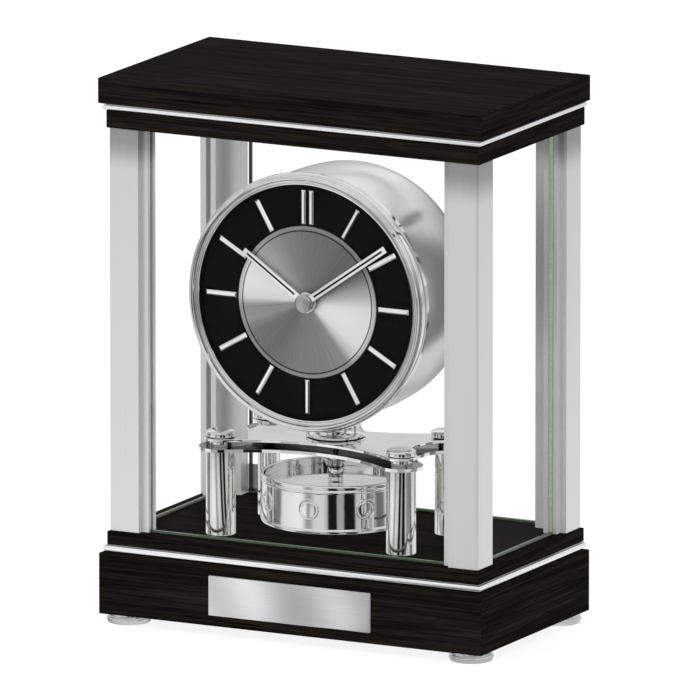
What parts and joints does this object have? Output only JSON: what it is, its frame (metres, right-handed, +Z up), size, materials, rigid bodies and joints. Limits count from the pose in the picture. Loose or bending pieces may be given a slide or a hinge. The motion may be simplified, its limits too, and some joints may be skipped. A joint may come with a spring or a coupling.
{
  "type": "mantel clock",
  "caption": "Glass-sided mantel clock with a round black dial on a pillar stand over a turning drum pendulum, dark wood plinth and top.",
  "frame": {"origin": "centre of the clock's box, on the surface that the feet stand on", "axes": "+X to the right seen from the dial's side, +Y from the dial to the rear door, +Z up"},
  "size_m": [0.1854, 0.1051, 0.2402],
  "materials": {
    "ebony_wood": "very dark straight-grained wood, satin lacquer",
    "satin_aluminium": "satin anodised, drawn along its length",
    "chrome": "mirror chrome",
    "clear_glass": "clear float glass with greenish edges",
    "dial_black": "gloss black lacquer",
    "spun_silver": "circular spun satin",
    "polished_silver": "polished with fine brushing",
    "steel": "bright turned",
    "black_plastic": "fine texture",
    "white_plastic": "smooth moulded",
    "cell_wrap": "plain printed wrap with a metal end"
  },
  "bodies": {
    "case_and_head": {"plinth": "ebony_wood", "base_panel": "ebony_wood", "top_lower_panel": "ebony_wood", "top_slab": "ebony_wood", "plinth_strip": "satin_aluminium", "top_strip": "satin_aluminium", "post_front_left": "satin_aluminium", "post_front_right": "satin_aluminium", "post_rear_left": "satin_aluminium", "post_rear_right": "satin_aluminium", "foot_front_left": "chrome", "foot_front_right": "chrome", "foot_rear_left": "chrome", "foot_rear_right": "chrome", "name_plate": "polished_silver", "front_glass": "clear_glass", "left_glass": "clear_glass", "right_glass": "clear_glass", "magnetic_catch": "steel", "pillar_front_left": "chrome", "pillar_front_right": "chrome", "pillar_rear_left": "chrome", "pillar_rear_right": "chrome", "pillar_cap_front_left": "chrome", "pillar_cap_front_right": "chrome", "pillar_cap_rear_left": "chrome", "pillar_cap_rear_right": "chrome", "lower_plate": "chrome", "upper_plate": "chrome", "pedestal": "chrome", "pendulum_bearing": "chrome", "pendulum_motor": "black_plastic", "head_case": "chrome", "head_back_cover": "black_plastic", "bezel": "chrome", "dial_plate": "dial_black", "dial_centre": "spun_silver", "dial_nut": "chrome", "movement_front_plate": "black_plastic", "movement_case": "black_plastic", "quartz_module": "white_plastic"},
    "rear_door": {"rear_glass": "clear_glass", "door_hinge_clip_lower": "steel", "door_hinge_clip_upper": "steel", "door_knob": "chrome", "door_striker": "steel"},
    "pendulum": {"pendulum_spindle": "steel", "pendulum_hub": "chrome", "pendulum_drum": "chrome", "pendulum_top_plate": "chrome"},
    "minute_works": {"minute_hand": "polished_silver", "minute_arbor": "steel", "centre_cap": "polished_silver"},
    "hour_works": {"hour_hand": "polished_silver", "hour_wheel": "white_plastic"},
    "minute_wheel_body": {"minute_wheel": "white_plastic"},
    "setting_knob_body": {"setting_knob": "black_plastic"},
    "cell": {"battery": "cell_wrap"}
  },
  "joints": [
    {"name": "door_swing", "type": "hinge", "parent": "case_and_head", "child": "rear_door", "pos_m": [-0.073, 0.0493, 0.1292], "axis": [0, 0, 1], "range_deg": [0, 90]},
    {"name": "pendulum_turn", "type": "hinge", "parent": "case_and_head", "child": "pendulum", "pos_m": [0, -0.0076, 0.0574], "axis": [0, 0, 1], "continuous": true},
    {"name": "minute_hand_turn", "type": "hinge", "parent": "case_and_head", "child": "minute_works", "pos_m": [0, -0.034, 0.1472], "axis": [0, 1, 0], "continuous": true},
    {"name": "hour_hand_turn", "type": "hinge", "parent": "case_and_head", "child": "hour_works", "pos_m": [0, -0.034, 0.1472], "axis": [0, 1, 0], "continuous": true},
    {"name": "minute_wheel_turn", "type": "hinge", "parent": "case_and_head", "child": "minute_wheel_body", "pos_m": [0, -0.029, 0.1592], "axis": [0, 1, 0], "continuous": true},
    {"name": "setting_knob_turn", "type": "hinge", "parent": "case_and_head", "child": "setting_knob_body", "pos_m": [0.012, -0.02, 0.1592], "axis": [0, 1, 0], "continuous": true},
    {"name": "cell_slide", "type": "slide", "parent": "case_and_head", "child": "cell", "axis": [0, 1, 0], "range_m": [0, 0.022]}
  ],
  "couplings": [
    {"joint": "hour_hand_turn", "follows": "minute_hand_turn", "ratio": 0.083333},
    {"joint": "minute_wheel_turn", "follows": "minute_hand_turn", "ratio": -0.33333},
    {"joint": "setting_knob_turn", "follows": "minute_hand_turn", "ratio": 1}
  ]
}
